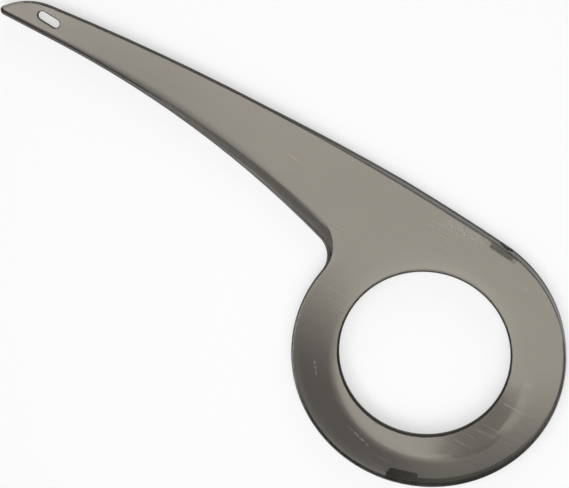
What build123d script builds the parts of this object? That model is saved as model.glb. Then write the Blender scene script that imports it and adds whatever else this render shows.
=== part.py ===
# Bicycle chain guard, moulded in one piece from smoked plastic.
# A dished ring with a crank opening covers the chainring, and an arm runs back over the
# chain. X points forward along the arm, Z points out from the bicycle.
# The origin is on the crank axis, in the plane of the wall's back edge.

import os
from math import atan2, cos, radians, sin, sqrt, tan

from build123d import *

# Sizes are in millimetres, and angles in degrees from +X towards +Y

# Shell
wall = 2.0
face_height = 15.0
shoulder_height = 6.0

# Ring round the chainring, dished: a slope rises from its rim to a flat band, which lies
# a little ahead of the crank axis and below it
ring_diameter = 200.0
band_diameter = 142.0
band_advance = 4.9
band_drop = 2.1
dish_rise = 4.0
dish_foot_gap = 1.0

# Crank opening in the band, a little behind and above the crank axis
opening_diameter = 124.0
opening_setback = 3.8
opening_rise = 3.2
opening_edge = 1.3
opening_lip_depth = 4.0
opening_lip_wall = 1.8

# Shoulder where the face turns back into the wall: tight round the rim, and broad along
# the arm's lower edge, where the face's own edge is the flatter arc
rim_shoulder = 1.2
tail_shoulder = 5.0
lower_face_radius = 940.0
neck_face_radius = 30.0
shoulder_steps = 4

# Arm over the chain's upper run
tail_reach = 388.5
tail_width = 22.5
tail_straight = 47.0
top_edge_radius = 1820.0
top_joint_angle = 83.7
lower_edge_radius = 720.0
neck_radius = 18.0
tip_radius = 47.0
nose_radius = 3.5
nose_face_radius = 1.0

# Slot for the rear screw
slot_setback = 35.5
slot_rise = 13.2
slot_length = 17.0
slot_width = 6.0
slot_angle = -4.5
slot_edge = 0.8

# Wall cut back to a lip on the open side, and tapered to that lip along the arm's top
lip_height = 10.0
taper_start = 75.0
taper_end = 185.0

# Bosses inside the rim for the two radial bracket screws
upper_boss_angle = 83.5
lower_boss_angle = -73.5
boss_length = 22.0
boss_depth = 4.0
boss_height = 12.0
boss_corner = 1.5
boss_end_gap = 1.5
screw_hole_diameter = 5.3
screw_seat_diameter = 11.0
screw_seat_depth = 0.8

# How far a cutting tool runs past the surface
overrun = 20.0

ring_radius = ring_diameter / 2
ring_center = Vector(0, 0)
opening_radius = opening_diameter / 2
opening_center = Vector(-opening_setback, opening_rise)
band_radius = band_diameter / 2
band_center = Vector(band_advance, -band_drop)
band_height = face_height + dish_rise
dish_foot_radius = ring_radius - rim_shoulder - dish_foot_gap
dish_slope = atan2(dish_rise, dish_foot_radius - band_radius)
shoulder_base = face_height - shoulder_height


def heading(angle):
    return Vector(cos(radians(angle)), sin(radians(angle)))


def toward(start, goal, distance):
    return start + (goal - start).normalized() * distance


# The two points at given distances from two centres
def meeting_points(center_a, distance_a, center_b, distance_b):
    span = (center_b - center_a).length
    along = (span**2 + distance_a**2 - distance_b**2) / (2 * span)
    across = sqrt(distance_a**2 - along**2)
    direction = (center_b - center_a).normalized()
    normal = Vector(-direction.Y, direction.X)
    foot = center_a + direction * along
    return foot + normal * across, foot - normal * across


# Arc about a centre from one point to another, the short way or the long way round
def arc_between(center, start, end, long_way=False):
    radius = (start - center).length
    middle = (start - center).normalized() + (end - center).normalized()
    if long_way:
        middle = middle * -1
    ThreePointArc(start, center + middle.normalized() * radius, end)


# The top edge's circle holds the ring's circle and touches it at the joint
joint_heading = heading(top_joint_angle)
top_edge_center = ring_center + joint_heading * (ring_radius - top_edge_radius)


def top_edge_at(x):
    return top_edge_center.Y + sqrt(top_edge_radius**2 - (x - top_edge_center.X) ** 2)


slot_center = Vector(slot_setback - tail_reach, 0)
tail_base = top_edge_at(slot_center.X) - tail_width
slot_center += Vector(0, tail_base + slot_rise)
straight_end = Vector(tail_straight - tail_reach, tail_base)


# Corner points and arc centres of the outline. It is drawn in by inset all round, and
# then further by the share of the shoulder that has turned.
def outline_points(inset, turn):
    def turned(edge, face):
        return edge + (face - edge) * turn

    front = turned(inset, rim_shoulder)
    under = turned(inset, tail_shoulder)
    points = {}
    rim = ring_radius - front
    top = top_edge_radius - front
    points["joint"] = ring_center + joint_heading * rim

    tip = tip_radius - front
    nose = turned(nose_radius - inset, nose_face_radius)
    nose_center = Vector(front + nose - tail_reach, tail_base + under + nose)
    both = meeting_points(nose_center, tip - nose, top_edge_center, top - tip)
    tip_center = max(both, key=lambda point: point.X)
    points["tip_center"] = tip_center
    points["top_end"] = toward(top_edge_center, tip_center, top)
    points["nose_center"] = nose_center
    points["nose_start"] = toward(tip_center, nose_center, tip)
    points["base_start"] = nose_center - Vector(0, nose)
    points["base_end"] = straight_end + Vector(0, under)

    lower = turned(lower_edge_radius + inset, lower_face_radius)
    neck = turned(neck_radius + inset, neck_face_radius)
    lower_center = points["base_end"] - Vector(0, lower)
    both = meeting_points(ring_center, rim + neck, lower_center, lower - neck)
    neck_center = min(both, key=lambda point: point.X)
    points["lower_center"] = lower_center
    points["neck_center"] = neck_center
    points["neck_start"] = toward(lower_center, neck_center, lower)
    points["neck_end"] = toward(ring_center, neck_center, rim)
    return points


def guard_outline(inset, turn):
    at = outline_points(inset, turn)
    with BuildLine() as outline:
        arc_between(top_edge_center, at["joint"], at["top_end"])
        arc_between(at["tip_center"], at["top_end"], at["nose_start"])
        arc_between(at["nose_center"], at["nose_start"], at["base_start"])
        Line(at["base_start"], at["base_end"])
        arc_between(at["lower_center"], at["base_end"], at["neck_start"])
        arc_between(at["neck_center"], at["neck_start"], at["neck_end"])
        arc_between(ring_center, at["neck_end"], at["joint"], long_way=True)
    return outline.edges()


# Solid form of the guard's outside, or of its hollow when inset is the wall
def moulded_form(inset, floor):
    with BuildPart() as form:
        with BuildSketch(Plane.XY.offset(floor)):
            make_face(guard_outline(inset, 0))
        extrude(amount=shoulder_base - floor)
        for step in range(shoulder_steps + 1):
            angle = radians(90 * step / shoulder_steps)
            level = shoulder_base + (shoulder_height - inset) * sin(angle)
            with BuildSketch(Plane.XY.offset(level)):
                make_face(guard_outline(inset, 1 - cos(angle)))
        loft(ruled=inset > 0)
        narrowing = inset * tan(dish_slope / 2)
        with BuildSketch(Plane.XY.offset(face_height - inset)):
            Circle(dish_foot_radius - narrowing)
        with BuildSketch(Plane.XY.offset(band_height - inset)):
            with Locations(band_center):
                Circle(band_radius - narrowing)
        loft(ruled=True)
    return form.part


with BuildPart() as chain_guard:
    add(moulded_form(0, 0))
    add(moulded_form(wall, -overrun), mode=Mode.SUBTRACT)

    # Lip turned back round the crank opening
    with BuildSketch(Plane.XY.offset(band_height - opening_lip_depth)):
        with Locations(opening_center):
            Circle(opening_radius + opening_lip_wall)
    extrude(amount=opening_lip_depth - wall / 2)
    with Locations(opening_center + Vector(0, 0, band_height)):
        CounterSinkHole(
            radius=opening_radius,
            counter_sink_radius=opening_radius + opening_edge,
            counter_sink_angle=90,
            depth=band_height + overrun,
        )

    # Wall cut back to the lip along the arm's lower edge and the ring's rear
    boss_half_angle = (boss_length / 2 + boss_end_gap) / radians(ring_radius)
    open_end = heading(lower_boss_angle - boss_half_angle) * (ring_radius + overrun)
    neck_start = outline_points(0, 0)["neck_start"]
    arm_middle = Vector(neck_start.X, (neck_start.Y + top_edge_at(neck_start.X)) / 2)
    far_left = -tail_reach - overrun
    with BuildSketch(Plane.XY.offset(-overrun)):
        with BuildLine():
            Polyline((far_left, slot_center.Y), arm_middle, ring_center, open_end)
            Polyline(open_end, (far_left, open_end.Y), (far_left, slot_center.Y))
        make_face()
    extrude(amount=overrun + lip_height, mode=Mode.SUBTRACT)

    # Top wall tapered from its full depth at the ring to the lip along the arm
    with BuildSketch(Plane.XZ):
        with BuildLine():
            Polyline((-taper_start, 0), (-taper_end, lip_height), (far_left, lip_height))
            Polyline((far_left, lip_height), (far_left, -overrun), (-taper_start, -overrun))
            Line((-taper_start, -overrun), (-taper_start, 0))
        make_face()
    extrude(amount=ring_diameter, both=True, mode=Mode.SUBTRACT)

    # Slot for the rear screw, its edge broken on the outside
    with BuildSketch():
        with Locations(slot_center):
            SlotOverall(slot_length, slot_width, rotation=slot_angle)
    extrude(amount=band_height + overrun, mode=Mode.SUBTRACT)
    with BuildSketch(Plane.XY.offset(face_height)):
        with Locations(slot_center):
            SlotOverall(
                slot_length + 2 * slot_edge,
                slot_width + 2 * slot_edge,
                rotation=slot_angle,
            )
    extrude(amount=-slot_edge, taper=45, mode=Mode.SUBTRACT)

    # Bosses inside the rim, each with a seat and a hole for a radial screw
    for angle in (upper_boss_angle, lower_boss_angle):
        rim_point = ring_center + heading(angle) * ring_radius
        with BuildSketch(Plane(rim_point, x_dir=heading(angle))) as boss:
            with Locations((-wall / 2, 0)):
                Rectangle(wall / 2 + boss_depth, boss_length, align=(Align.MAX, Align.CENTER))
            fillet(boss.vertices().sort_by(Axis.X)[:2], boss_corner)
        extrude(amount=boss_height)
        hole_point = rim_point + Vector(0, 0, boss_height / 2)
        with Locations(Plane(hole_point, z_dir=heading(angle))):
            CounterBoreHole(
                radius=screw_hole_diameter / 2,
                counter_bore_radius=screw_seat_diameter / 2,
                counter_bore_depth=screw_seat_depth,
                depth=wall + boss_depth + overrun,
            )

chain_guard.part.label = "chain_guard"
os.makedirs("parts", exist_ok=True)
export_step(chain_guard.part, "parts/chain_guard.step")
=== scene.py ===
from functools import partial
from math import pi

import bpy
from mathutils import Matrix, Vector

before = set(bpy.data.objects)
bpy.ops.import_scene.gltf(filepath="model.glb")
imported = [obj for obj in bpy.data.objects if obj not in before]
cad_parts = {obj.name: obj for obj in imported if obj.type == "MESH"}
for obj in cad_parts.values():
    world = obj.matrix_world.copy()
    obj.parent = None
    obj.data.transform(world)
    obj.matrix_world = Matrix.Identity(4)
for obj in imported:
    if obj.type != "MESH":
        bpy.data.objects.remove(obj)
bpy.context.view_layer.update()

scene = bpy.context.scene
guardNode = bpy.data.objects["chain_guard"]
mmPerMetre = 1000.0

for leftOver in ("Cube", "Light", "Camera"):  # the start-up file's own things
    if leftOver in bpy.data.objects:
        bpy.data.objects.remove(bpy.data.objects[leftOver], do_unlink=True)


# A value is a constant or another node's output
def feed(tree, socket, value):
    if isinstance(value, bpy.types.NodeSocket):
        tree.links.new(value, socket)
    else:
        socket.default_value = value


# Each value goes to the input of that name, with _ for a space, or else is a setting of the node
def addNode(tree, kind, place, **values):
    node = tree.nodes.new(kind)
    node.location = place
    for name, value in values.items():
        label = name.replace("_", " ")
        if label in node.inputs:
            feed(tree, node.inputs[label], value)
        else:
            setattr(node, name, value)
    return node


def addMath(tree, place, operation, *values, clamp=False):
    node = addNode(tree, "ShaderNodeMath", place, operation=operation, use_clamp=clamp)
    for socket, value in zip(node.inputs, values):
        feed(tree, socket, value)
    return node.outputs[0]


def addVector(tree, place, operation, *values):
    node = addNode(tree, "ShaderNodeVectorMath", place, operation=operation)
    for socket, value in zip(node.inputs, values):
        feed(tree, socket, value)
    return node.outputs["Value" if operation in ("DISTANCE", "DOT_PRODUCT") else "Vector"]


# Goes from low to high as the value goes from start to end
def addRamp(tree, place, value, start, end, low=0.0, high=1.0, kind="LINEAR"):
    node = addNode(tree, "ShaderNodeMapRange", place, interpolation_type=kind, Value=value,
                   From_Min=start, From_Max=end, To_Min=low, To_Max=high)
    return node.outputs["Result"]


def newGroup(name, inputs, outputs):
    group = bpy.data.node_groups.new(name, "ShaderNodeTree")
    for label, kind in inputs.items():
        group.interface.new_socket(label, in_out="INPUT", socket_type=kind)
    for label in outputs:
        group.interface.new_socket(label, in_out="OUTPUT", socket_type="NodeSocketFloat")
    given = addNode(group, "NodeGroupInput", (-1200, 0))
    result = addNode(group, "NodeGroupOutput", (800, 0))
    return group, given.outputs, result.inputs


# Mask of a straight stroke from its start to its end, with a soft border
def makeStrokeMark():
    vector, number = "NodeSocketVector", "NodeSocketFloat"
    inputs = {"Position": vector, "Start": vector, "End": vector, "Half Width": number, "Softness": number}
    group, given, result = newGroup("strokeMark", inputs, ["Mask"])
    along = addVector(group, (-950, 150), "SUBTRACT", given["End"], given["Start"])
    offset = addVector(group, (-950, -100), "SUBTRACT", given["Position"], given["Start"])
    reach = addVector(group, (-750, 0), "DOT_PRODUCT", offset, along)
    span = addVector(group, (-750, 200), "DOT_PRODUCT", along, along)
    share = addMath(group, (-550, 100), "DIVIDE", reach, span, clamp=True)
    foot = addNode(group, "ShaderNodeVectorMath", (-350, 100), operation="SCALE", Scale=share)
    feed(group, foot.inputs[0], along)
    gap = addVector(group, (-150, 0), "DISTANCE", offset, foot.outputs["Vector"])
    beyond = addMath(group, (50, 0), "SUBTRACT", gap, given["Half Width"])
    mask = addRamp(group, (300, 0), beyond, 0.0, given["Softness"], 1.0, 0.0, kind="SMOOTHSTEP")
    feed(group, result["Mask"], mask)
    return group


strokeMark = makeStrokeMark()


# One mask of several strokes
def addStrokes(tree, x, y, strokes, position):
    total = None
    for number, stroke in enumerate(strokes):
        row = y - 220 * number
        node = addNode(tree, "ShaderNodeGroup", (x, row), node_tree=strokeMark, Position=position,
                       Start=stroke["from"], End=stroke["to"],
                       Half_Width=stroke["halfWidth"], Softness=stroke["softness"])
        mask = node.outputs["Mask"]
        total = mask if total is None else addMath(tree, (x + 250, row), "MAXIMUM", total, mask)
    return total


handling = {
    "lines": {"scale": 30.0, "detail": 1.0, "squash": (1, 40, 1), "turn": 0.45, "from": 0.68, "to": 0.72},
    "crossing": {"scale": 34.0, "detail": 1.0, "squash": (1, 36, 1), "turn": -0.8, "from": 0.69, "to": 0.73},
    "patches": {"scale": 28.0, "detail": 2.0, "from": 0.50, "to": 0.64},
    "smudges": {"scale": 22.0, "detail": 4.0, "from": 0.45, "to": 0.70},
    "waves": {"scale": 17.0, "detail": 1.0, "height": 0.05},  # in millimetres
}


# Hairline scratches in two directions, smudges, and the moulding's faint waves
def makeHandlingMarks():
    inputs = {"Position": "NodeSocketVector"}
    group, given, result = newGroup("handlingMarks", inputs, ["Scratches", "Smudges", "Waves"])

    def noise(y, grain):
        position = given["Position"]
        if "squash" in grain:
            mapping = addNode(group, "ShaderNodeMapping", (-750, y), Vector=position,
                              Scale=grain["squash"], Rotation=(0, 0, grain["turn"]))
            position = mapping.outputs[0]
        texture = addNode(group, "ShaderNodeTexNoise", (-500, y), Vector=position,
                          Scale=grain["scale"], Detail=grain["detail"])
        return texture.outputs["Fac"]

    def spots(y, grain):
        return addRamp(group, (-250, y), noise(y, grain), grain["from"], grain["to"])

    lines, crossing = spots(400, handling["lines"]), spots(200, handling["crossing"])
    either = addMath(group, (0, 350), "MAXIMUM", lines, crossing)
    scratches = addMath(group, (200, 300), "MULTIPLY", either, spots(0, handling["patches"]))
    waves = handling["waves"]
    rise = addMath(group, (0, -400), "MULTIPLY", noise(-400, waves), waves["height"])
    feed(group, result["Scratches"], scratches)
    feed(group, result["Smudges"], spots(-200, handling["smudges"]))
    feed(group, result["Waves"], rise)
    return group


# Places and lengths are in metres, in the part's own frame, and depths in millimetres
smoked = {
    "tint": (0.385, 0.368, 0.340, 1.0),
    # whitens the scuffs and scratches, and also the painted highlight streak along the dish foot
    "scuffAndHighlightTint": (0.97, 0.95, 0.92, 1.0),
    "edgeTint": (0.035, 0.032, 0.03, 1.0),
    "smokeColor": (0.63, 0.615, 0.60, 1.0),
    "smokeDensity": 1000.0,
    "ior": 1.58,
    "roughness": 0.055,
    "smudgeRoughness": 0.05,
    "scuffAndHighlightRoughness": 0.30,
    "edgeRoughness": 0.60,
    "gloss": 1.0,
    "glossTint": (1.0, 0.92, 0.74, 1.0),
    "coat": 0.35,
    "scratchShare": 0.3,
    "grooveDepth": 0.006,
    "crumbs": {"scale": 420.0, "detail": 2.0, "from": 0.45, "to": 0.62},
    "steepFrom": 0.88,  # the normal's height where the dark edge starts
    "steepTo": 0.60,
    "wallShare": 0.55,  # how much of that darkness the lit wall keeps
    # below these heights the wall gets painted shade where it meets the floor; above them the closed-side
    # wall is painted lighter, as lit
    "backEdge": {
        "taperStart": -0.075, "taperEnd": -0.185, "lip": 0.010, "darkTo": 0.006, "litFrom": 0.008,
    },
    "crease": {"center": (0.0049, -0.0021, 0), "radius": 0.071, "reach": 0.0045, "depth": 0.17},
    "roll": {
        "center": (-0.3415, -0.63954, 0), "radius": 0.720, "slope": 0.3,
        "tailAt": -0.37, "tailReach": 0.005, "neckAt": -0.15, "neckReach": 0.016,
        "fadeFrom": -0.115, "fadeTo": -0.175, "openTo": 0.006, "closedFrom": 0.012,
    },
    "rimFall": {
        "center": (-0.00175, 0.00175, 0), "radius": 0.09825, "slope": 0.35,
        "side": (0.707, -0.707, 0), "sideFrom": -0.01, "sideTo": 0.03,
    },
    "rims": [
        {"from": (-0.0038, 0.0032, 0), "to": (-0.0038, 0.0032, 0), "halfWidth": 0.0631, "softness": 0.0006},
        {
            "from": (-0.35848, 0.09409, 0), "to": (-0.34752, 0.09323, 0),
            "halfWidth": 0.0034, "softness": 0.0005,
        },
    ],
    # a darker strip painted over the upper boss, where the boss shows through the face
    "upperBossDark": {
        "from": (0.0012, 0.0973, 0), "to": (0.0169, 0.0958, 0), "halfWidth": 0.0010, "softness": 0.0018,
    },
    "upperBossDarkShare": 0.7,
    # The first stroke is a painted highlight, a light streak along the dish foot at the top; the other two
    # are scratches.
    "scuffsAndHighlight": [
        {"from": (-0.035, 0.0958, 0), "to": (-0.004, 0.0985, 0), "halfWidth": 0.0012, "softness": 0.0030},
        {"from": (-0.0266, -0.0732, 0), "to": (-0.007, -0.0791, 0), "halfWidth": 0.0002, "softness": 0.0009},
        {"from": (-0.0711, -0.0410, 0), "to": (-0.0654, -0.0492, 0), "halfWidth": 0.0002, "softness": 0.0008},
    ],
}


# Where a point of the plastic lies, also flat on the face, and how far its normal stands up
def surfacePlace(tree):
    position = addNode(tree, "ShaderNodeTexCoord", (-2000, 0)).outputs["Object"]
    split = addNode(tree, "ShaderNodeSeparateXYZ", (-1700, 1200), Vector=position)
    surface = addNode(tree, "ShaderNodeNewGeometry", (-1500, 900))
    normal = addNode(tree, "ShaderNodeSeparateXYZ", (-1300, 900), Vector=surface.outputs["Normal"])
    return {
        "position": position,
        "flat": addVector(tree, (-1800, 0), "MULTIPLY", position, (1, 1, 0)),
        "x": split.outputs["X"],
        "z": split.outputs["Z"],
        "normalZ": normal.outputs["Z"],
    }


# Distance on the face from a circle, less than 0 inside it
def circleGap(tree, y, at, circle):
    away = addVector(tree, (-1500, y), "DISTANCE", at["flat"], circle["center"])
    return addMath(tree, (-1300, y), "SUBTRACT", away, circle["radius"])


# Scuffs broken up into crumbs, and fainter hairline scratches. The first scuff stroke is a painted highlight
# streak along the dish foot.
def wornAndHighlightMask(tree, at, scratches):
    crumbs = smoked["crumbs"]
    texture = addNode(tree, "ShaderNodeTexNoise", (-1500, -500), Vector=at["position"],
                      Scale=crumbs["scale"], Detail=crumbs["detail"])
    broken = addRamp(tree, (-1250, -500), texture.outputs["Fac"], crumbs["from"], crumbs["to"])
    scuffsAndHighlight = addStrokes(tree, -1500, -800, smoked["scuffsAndHighlight"], at["flat"])
    crumbled = addMath(tree, (-900, -400), "MULTIPLY", scuffsAndHighlight, broken)
    faint = addMath(tree, (-900, 0), "MULTIPLY", scratches, smoked["scratchShare"])
    return addMath(tree, (-700, -200), "MAXIMUM", crumbled, faint)


# Walls and broken edges are told from the face by their normal and painted near-black. The wall on the closed
# side is painted lighter, as lit, above a strip of painted shade along its back edge, which tapers along the
# arm.
def edgeMask(tree, at, rollGap):
    back, roll = smoked["backEdge"], smoked["roll"]
    math, ramp = partial(addMath, tree), partial(addRamp, tree)
    upright = math((-1100, 900), "ABSOLUTE", at["normalZ"])
    steep = ramp((-900, 900), upright, smoked["steepFrom"], smoked["steepTo"], kind="SMOOTHSTEP")
    # Painted shade along the back edge, and painted light on the closed-side wall above it
    backEdge = ramp((-1500, 1200), at["x"], back["taperStart"], back["taperEnd"], 0.0, back["lip"])
    above = math((-1300, 1200), "SUBTRACT", at["z"], backEdge)
    clear = ramp((-1100, 1200), above, back["darkTo"], back["litFrom"])
    closed = ramp((-1100, 1400), rollGap, roll["openTo"], roll["closedFrom"])
    lit = math((-900, 1200), "MULTIPLY", clear, closed)
    bright = math((-800, 1200), "MULTIPLY", lit, 1.0 - smoked["wallShare"])
    turned = math((-600, 1000), "MULTIPLY", steep, math((-700, 1200), "SUBTRACT", 1.0, bright))
    # The strip over the upper boss is painted darker
    bossStrip = addStrokes(tree, -1500, 1900, [smoked["upperBossDark"]], at["flat"])
    fadedBossStrip = math((-900, 1700), "MULTIPLY", bossStrip, smoked["upperBossDarkShare"])
    rims = addStrokes(tree, -1500, 1500, smoked["rims"], at["flat"])
    drawn = math((-700, 1400), "MAXIMUM", rims, fadedBossStrip)
    return math((-500, 700), "MAXIMUM", turned, drawn)


# Soft turns, in millimetres below the face: the dish's crease, the arm's lower edge and the rim
def softTurns(tree, at, rollGap):
    crease, roll, rim = smoked["crease"], smoked["roll"], smoked["rimFall"]
    math, ramp = partial(addMath, tree), partial(addRamp, tree)

    def fall(y, gap, reach, depth):  # a curve from full depth at no gap to nothing at the reach
        near = math((-900, y), "SUBTRACT", 1.0, math((-1050, y), "DIVIDE", gap, reach), clamp=True)
        return math((-600, y), "MULTIPLY", math((-750, y), "MULTIPLY", near, near), depth)

    creaseGap = math((-1150, -1600), "ABSOLUTE", circleGap(tree, -1600, at, crease))
    creaseFall = fall(-1600, creaseGap, crease["reach"], crease["depth"])

    reach = ramp((-1300, -1950), at["x"], roll["tailAt"], roll["neckAt"],
                 roll["tailReach"], roll["neckReach"])
    depth = math((-1050, -1950), "MULTIPLY", reach, roll["slope"] * mmPerMetre / 2)
    onArm = ramp((-750, -2050), at["x"], roll["fadeFrom"], roll["fadeTo"])
    rollFall = math((-450, -1800), "MULTIPLY", fall(-1800, rollGap, reach, depth), onArm)

    outside = math((-1150, -2100), "MAXIMUM", circleGap(tree, -2100, at, rim), 0.0)
    rimDrop = math((-1000, -2100), "MULTIPLY", outside, rim["slope"] * mmPerMetre)
    onSide = addVector(tree, (-1500, -2300), "DOT_PRODUCT", at["flat"], rim["side"])
    facing = ramp((-1150, -2300), onSide, rim["sideFrom"], rim["sideTo"])
    rimFall = math((-800, -2100), "MULTIPLY", rimDrop, facing)

    lowered = math((-300, -1700), "ADD", math((-400, -1600), "ADD", creaseFall, rollFall), rimFall)
    upward = math((-300, -1500), "SIGN", at["normalZ"])  # so that both faces of the shell turn alike
    return math((-150, -1700), "MULTIPLY", lowered, upward)


def smokedPlastic():
    material = bpy.data.materials.new("smokedPlastic")
    material.use_nodes = True
    tree = material.node_tree
    math = partial(addMath, tree)
    shader = tree.nodes["Principled BSDF"].inputs
    shader["Transmission Weight"].default_value = 1.0
    shader["IOR"].default_value = smoked["ior"]
    shader["Specular IOR Level"].default_value = smoked["gloss"]
    shader["Specular Tint"].default_value = smoked["glossTint"]
    smoke = addNode(tree, "ShaderNodeVolumeAbsorption", (0, -700),
                    Color=smoked["smokeColor"], Density=smoked["smokeDensity"])
    feed(tree, tree.nodes["Material Output"].inputs["Volume"], smoke.outputs[0])

    at = surfacePlace(tree)
    handled = addNode(tree, "ShaderNodeGroup", (-1500, 300),
                      node_tree=makeHandlingMarks(), Position=at["position"])
    marks = handled.outputs
    rollGap = circleGap(tree, -1800, at, smoked["roll"])
    wornAndHighlight = wornAndHighlightMask(tree, at, marks["Scratches"])
    edges = edgeMask(tree, at, rollGap)

    def blend(place, share, first, second):
        node = addNode(tree, "ShaderNodeMix", place, data_type="RGBA", Factor=share)
        feed(tree, node.inputs[6], first)  # 6 and 7 are the node's two colours
        feed(tree, node.inputs[7], second)
        return node.outputs[2]

    # Whitens the scuffs and scratches, and paints the highlight streak along the dish foot
    rubbedAndHighlighted = blend((-450, 300), wornAndHighlight, smoked["tint"], smoked["scuffAndHighlightTint"])
    feed(tree, shader["Base Color"], blend((-250, 300), edges, rubbedAndHighlighted, smoked["edgeTint"]))

    smudged = math((-700, 100), "MULTIPLY_ADD", marks["Smudges"],
                   smoked["smudgeRoughness"], smoked["roughness"])
    scuffedAndHighlighted = math((-500, 100), "MULTIPLY", wornAndHighlight, smoked["scuffAndHighlightRoughness"])
    edged = math((-500, -50), "MULTIPLY", edges, smoked["edgeRoughness"])
    rough = math((-150, 50), "MAXIMUM", math((-300, 100), "ADD", smudged, scuffedAndHighlighted), edged)
    feed(tree, shader["Roughness"], rough)
    bare = math((-300, -250), "SUBTRACT", 1.0, math((-450, -250), "MAXIMUM", edges, wornAndHighlight), clamp=True)
    feed(tree, shader["Coat Weight"], math((-150, -250), "MULTIPLY", bare, smoked["coat"]))

    groove = math((-500, -450), "MULTIPLY", wornAndHighlight, smoked["grooveDepth"])
    relief = math((-400, -450), "SUBTRACT", marks["Waves"], groove)
    height = math((-300, -450), "SUBTRACT", relief, softTurns(tree, at, rollGap))
    bump = addNode(tree, "ShaderNodeBump", (-200, -450), Strength=1.0, Distance=1 / mmPerMetre, Height=height)
    feed(tree, shader["Normal"], bump.outputs[0])
    return material


guardNode.data.materials[0] = smokedPlastic()
print("plastic ready")

floorSettings = {
    "size": 6.0,
    "drop": 0.0004,
    "color": (0.92, 0.92, 0.92, 1.0),
    "roughness": 0.9,
    "white": 0.55,
    "whiteThrough": 0.4,
}


# The camera sees part of the floor as plain white, and reflections and the plastic a smaller part.
# The rest is lit and keeps the shadow.
def floorPaint():
    material = bpy.data.materials.new("floorPaint")
    material.use_nodes = True
    tree = material.node_tree
    paint = tree.nodes["Principled BSDF"]
    paint.inputs["Base Color"].default_value = floorSettings["color"]
    paint.inputs["Roughness"].default_value = floorSettings["roughness"]
    paint.inputs["Specular IOR Level"].default_value = 0.0
    rays = addNode(tree, "ShaderNodeLightPath", (-600, 300)).outputs
    direct = addMath(tree, (-200, 450), "MULTIPLY", rays["Is Camera Ray"], floorSettings["white"])
    bounced = addMath(tree, (-400, 300), "MAXIMUM", rays["Is Glossy Ray"], rays["Is Transmission Ray"])
    through = addMath(tree, (-200, 300), "MULTIPLY", bounced, floorSettings["whiteThrough"])
    share = addMath(tree, (0, 300), "MAXIMUM", direct, through)
    plain = addNode(tree, "ShaderNodeEmission", (0, 100), Color=(1, 1, 1, 1), Strength=1.0)
    mixed = addNode(tree, "ShaderNodeMixShader", (300, 200))
    for socket, value in zip(mixed.inputs, (share, paint.outputs[0], plain.outputs[0])):
        feed(tree, socket, value)
    feed(tree, tree.nodes["Material Output"].inputs["Surface"], mixed.outputs[0])
    return material


half = floorSettings["size"] / 2
corners = [(-half, -half, 0), (half, -half, 0), (half, half, 0), (-half, half, 0)]
floorMesh = bpy.data.meshes.new("floor")
floorMesh.from_pydata(corners, [], [(0, 1, 2, 3)])
floorMesh.materials.append(floorPaint())
floor = bpy.data.objects.new("floor", floorMesh)
floor.location = (0, 0, -floorSettings["drop"])
scene.collection.objects.link(floor)
print("floor ready")

# A card's strokes are in metres from its lamp's middle
studio = {
    "surround": (0.20, 0.20, 0.21, 1.0),
    "overhead": {
        "place": (0.22, -0.417, 1.35), "aim": (0.22, -0.417, 0), "along": (0.766, -0.643, 0),
        "size": (2.15, 1.35), "radiance": 3.15, "fadeLow": 0.385, "fadeEnd": 0.42,
        "card": [
            {"from": (0.060, 0.005, 0), "to": (0.090, -0.052, 0), "halfWidth": 0.024, "softness": 0.040},
            {"from": (0.125, -0.044, 0), "to": (0.255, -0.042, 0), "halfWidth": 0.050, "softness": 0.045},
            {"from": (0.385, -0.035, 0), "to": (0.52, -0.020, 0), "halfWidth": 0.12, "softness": 0.060},
        ],
        "cardShare": 0.85,
    },
    "tail": {
        "place": (-0.80, -0.22, 1.42), "aim": (-0.80, -0.22, 0), "along": (1, 0, 0),
        "size": (0.80, 0.6), "radiance": 2.7, "fadeLow": 0.10, "fadeEnd": 0.60,
    },
    "side": {
        "place": (-0.45, 1.6, 0.8), "aim": (-0.1, 0, 0), "along": (1, 0, 0),
        "size": (2.2, 1.0), "radiance": 1.1, "fadeLow": 0.05, "fadeEnd": 0.02,
    },
}
world = bpy.data.worlds.new("studio")
world.use_nodes = True
scene.world = world
world.node_tree.nodes["Background"].inputs["Color"].default_value = studio["surround"]


def standAt(place, right, up, away):
    return Matrix.Translation(place) @ Matrix((right, up, away)).transposed().to_4x4()


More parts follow.
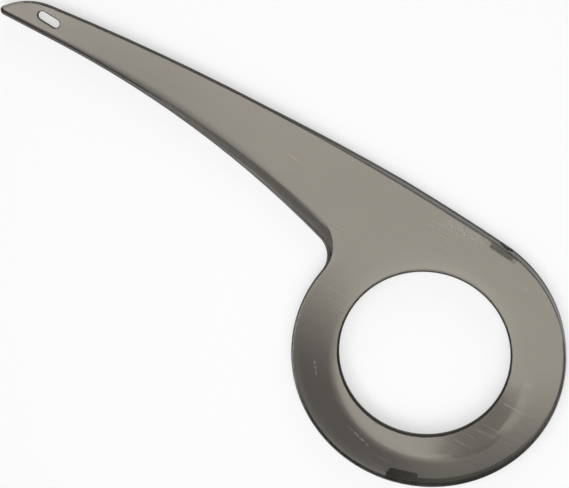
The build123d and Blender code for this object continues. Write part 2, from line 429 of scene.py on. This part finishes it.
# A flat lamp that fades in over its lower edge and out over its far end. A dark card may stand before it.
def softbox(name, box):
    lamp = bpy.data.lights.new(name, "AREA")
    lamp.shape = "RECTANGLE"
    lamp.size, lamp.size_y = box["size"]
    lamp.energy = box["radiance"] * pi * lamp.size * lamp.size_y
    lamp.use_nodes = True
    tree = lamp.node_tree
    spot = addNode(tree, "ShaderNodeNewGeometry", (-900, 0)).outputs["Parametric"]
    split = addNode(tree, "ShaderNodeSeparateXYZ", (-700, 0), Vector=spot).outputs
    low = addRamp(tree, (-500, 120), split["Y"], 0.0, box["fadeLow"], kind="SMOOTHSTEP")
    end = addRamp(tree, (-500, -160), split["X"], 1.0, 1.0 - box["fadeEnd"], kind="SMOOTHSTEP")
    strength = addMath(tree, (-250, 0), "MULTIPLY", low, end)
    if "card" in box:
        size = (lamp.size, lamp.size_y, 0)
        corner = (-lamp.size / 2, -lamp.size_y / 2, 0)
        position = addVector(tree, (-700, -400), "MULTIPLY_ADD", spot, size, corner)
        card = addStrokes(tree, -500, -400, box["card"], position)
        kept = addMath(tree, (-50, -400), "MULTIPLY_ADD", card, -box["cardShare"], 1.0)
        strength = addMath(tree, (150, 0), "MULTIPLY", strength, kept)
    feed(tree, tree.nodes["Emission"].inputs["Strength"], strength)

    lampObject = bpy.data.objects.new(name, lamp)
    away = (Vector(box["place"]) - Vector(box["aim"])).normalized()
    up = away.cross(Vector(box["along"])).normalized()
    lampObject.matrix_world = standAt(box["place"], up.cross(away), up, away)
    scene.collection.objects.link(lampObject)


for name in ("overhead", "tail", "side"):
    softbox(name + "Box", studio[name])
print("light ready")

viewpoint = {
    "place": (-0.11449, 0.36932, 1.16879),
    "imageUp": (-0.46407, 0.85100, -0.24584),
    "back": (0.01312, 0.28410, 0.95870),
    "lens": 105.498,
    "sensorWidth": 36.0,
    "clipStart": 0.01,
}
eye = bpy.data.cameras.new("camera")
eye.lens = viewpoint["lens"]
eye.sensor_width = viewpoint["sensorWidth"]
eye.clip_start = viewpoint["clipStart"]
camera = bpy.data.objects.new("camera", eye)
back = Vector(viewpoint["back"]).normalized()
right = Vector(viewpoint["imageUp"]).cross(back).normalized()
camera.matrix_world = standAt(viewpoint["place"], right, back.cross(right), back)
scene.collection.objects.link(camera)
scene.camera = camera
scene.view_settings.view_transform = "Standard"
print("camera ready")
